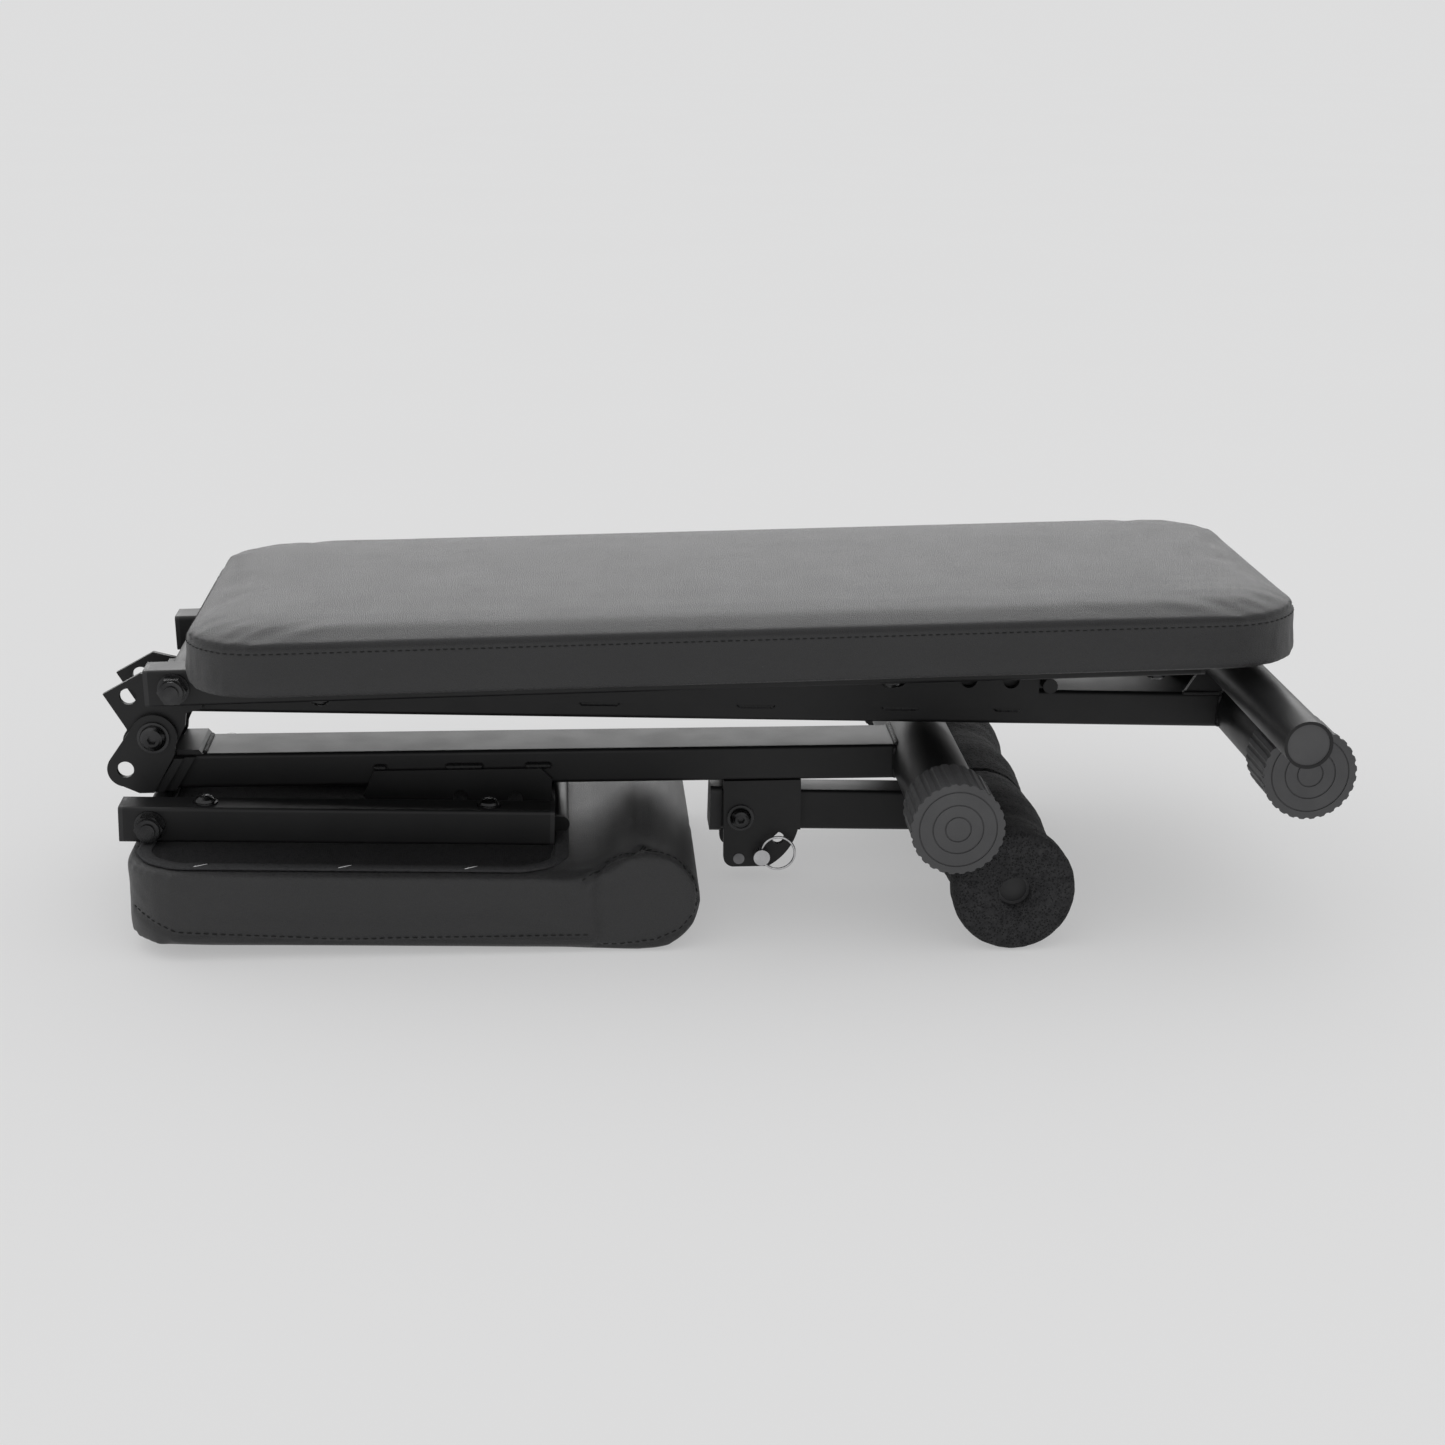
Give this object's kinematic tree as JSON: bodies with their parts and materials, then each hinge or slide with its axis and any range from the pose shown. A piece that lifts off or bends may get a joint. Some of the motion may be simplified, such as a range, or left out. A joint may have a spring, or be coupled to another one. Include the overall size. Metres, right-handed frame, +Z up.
{
  "type": "adjustable weight bench",
  "caption": "Folding adjustable weight bench with padded backrest and seat, ladder-stop struts, foam leg roller bar and capped cross feet, folded flat.",
  "frame": {"origin": "middle of the bench's footprint, on the floor it is folded down onto", "axes": "+X from the fold hinge to the rear foot, +Y the left side, +Z up"},
  "size_m": [0.8335, 0.472, 0.2371],
  "materials": {
    "black_frame": "satin black powder coat",
    "black_vinyl": "matte grained vinyl",
    "plywood": "raw plywood",
    "backing_cloth": "non-woven backing cloth",
    "black_foam": "open-cell foam",
    "grey_plastic": "moulded matte plastic",
    "black_plastic": "moulded black plastic",
    "black_hardware": "black zinc",
    "nickel_steel": "bright nickel",
    "inner_tube_steel": "semi-gloss grey-black",
    "dull_steel": "dull zinc"
  },
  "bodies": {
    "rear_leg": {"rear_leg_tube": "black_frame", "rear_hinge_plates": "black_frame", "backrest_pivot_sleeve": "black_frame", "backrest_rack_plates": "black_frame", "rear_foot_tube": "black_frame", "rear_foot_cap_left": "grey_plastic", "rear_foot_cap_right": "grey_plastic", "rest_bar": "black_frame", "rest_bar_bracket": "black_frame", "rest_bar_plugs": "grey_plastic", "fold_pivot_bolt": "black_hardware", "fold_pivot_nut": "black_hardware", "fold_pivot_spacer": "black_frame", "rear_leg_end_plug": "black_plastic"},
    "front_leg": {"front_leg_tube": "black_frame", "front_hinge_plates": "black_frame", "seat_pivot_sleeve": "black_frame", "seat_rack_plates": "black_frame", "front_foot_tube": "black_frame", "front_foot_cap_left": "grey_plastic", "front_foot_cap_right": "grey_plastic", "roller_bracket_plates": "black_frame", "roller_pivot_bolt": "black_hardware", "roller_pivot_nut": "black_hardware", "roller_bracket_rivet": "dull_steel"},
    "backrest": {"backrest_rail_left": "black_frame", "backrest_rail_right": "black_frame", "backrest_rail_plugs": "black_plastic", "backrest_board": "plywood", "backrest_pad": "black_vinyl", "backrest_screws": "black_hardware", "backrest_pivot_bolt": "black_hardware", "backrest_pivot_nut": "black_hardware", "backrest_strut_axle": "black_hardware"},
    "backrest_strut": {"backrest_strut_arm_left": "black_frame", "backrest_strut_arm_right": "black_frame", "backrest_strut_rod": "black_frame"},
    "seat": {"seat_rail_left": "black_frame", "seat_rail_right": "black_frame", "seat_rail_plugs": "black_plastic", "seat_board": "plywood", "seat_pad": "black_vinyl", "seat_backing": "backing_cloth", "seat_screws": "black_hardware", "seat_pivot_bolt": "black_hardware", "seat_pivot_nut": "black_hardware", "seat_strut_pins": "black_hardware"},
    "seat_strut": {"seat_strut_arm_left": "black_frame", "seat_strut_arm_right": "black_frame", "seat_strut_rod": "black_frame"},
    "roller_post": {"roller_post": "black_frame", "roller_post_plug": "black_plastic", "roller_post_tongue": "black_frame", "roller_bar": "inner_tube_steel", "roller_bar_plugs": "black_plastic", "foam_roller_left": "black_foam", "foam_roller_right": "black_foam"},
    "ring_pin": {"ring_pin": "nickel_steel"},
    "pin_ring": {"pin_ring": "nickel_steel"}
  },
  "joints": [
    {"name": "frame_fold", "type": "hinge", "parent": "rear_leg", "child": "front_leg", "pos_m": [-0.3837, 0, 0.1232], "axis": [0, 1, 0], "range_deg": [0, 108]},
    {"name": "backrest_tilt", "type": "hinge", "parent": "rear_leg", "child": "backrest", "pos_m": [-0.3593, 0, 0.1725], "axis": [0, -1, 0], "range_deg": [0, 102]},
    {"name": "backrest_strut_swing", "type": "hinge", "parent": "backrest", "child": "backrest_strut", "pos_m": [-0.1193, 0, 0.1761], "axis": [0, 1, 0], "range_deg": [0, 140]},
    {"name": "seat_tilt", "type": "hinge", "parent": "front_leg", "child": "seat", "pos_m": [-0.3815, 0, 0.0758], "axis": [0, 1, 0], "range_deg": [0, 52.9]},
    {"name": "seat_strut_swing", "type": "hinge", "parent": "seat", "child": "seat_strut", "pos_m": [-0.2429, 0, 0.0688], "axis": [0, -1, 0], "range_deg": [0, 106]},
    {"name": "roller_post_swing", "type": "hinge", "parent": "front_leg", "child": "roller_post", "pos_m": [0.0224, 0, 0.0534], "axis": [0, 1, 0], "range_deg": [0, 18]},
    {"name": "ring_pin_pull", "type": "slide", "parent": "front_leg", "child": "ring_pin", "axis": [0, -1, 0], "range_m": [0, 0.08]},
    {"name": "pin_ring_swing", "type": "hinge", "parent": "ring_pin", "child": "pin_ring", "pos_m": [0.03705, -0.0312, 0.02585], "axis": [0.1925, 0, -0.9813], "range_deg": [0, 90]}
  ],
  "couplings": [
    {"joint": "backrest_strut_swing", "follows": "backrest_tilt", "ratio": 1.3665},
    {"joint": "seat_strut_swing", "follows": "seat_tilt", "ratio": 2}
  ]
}
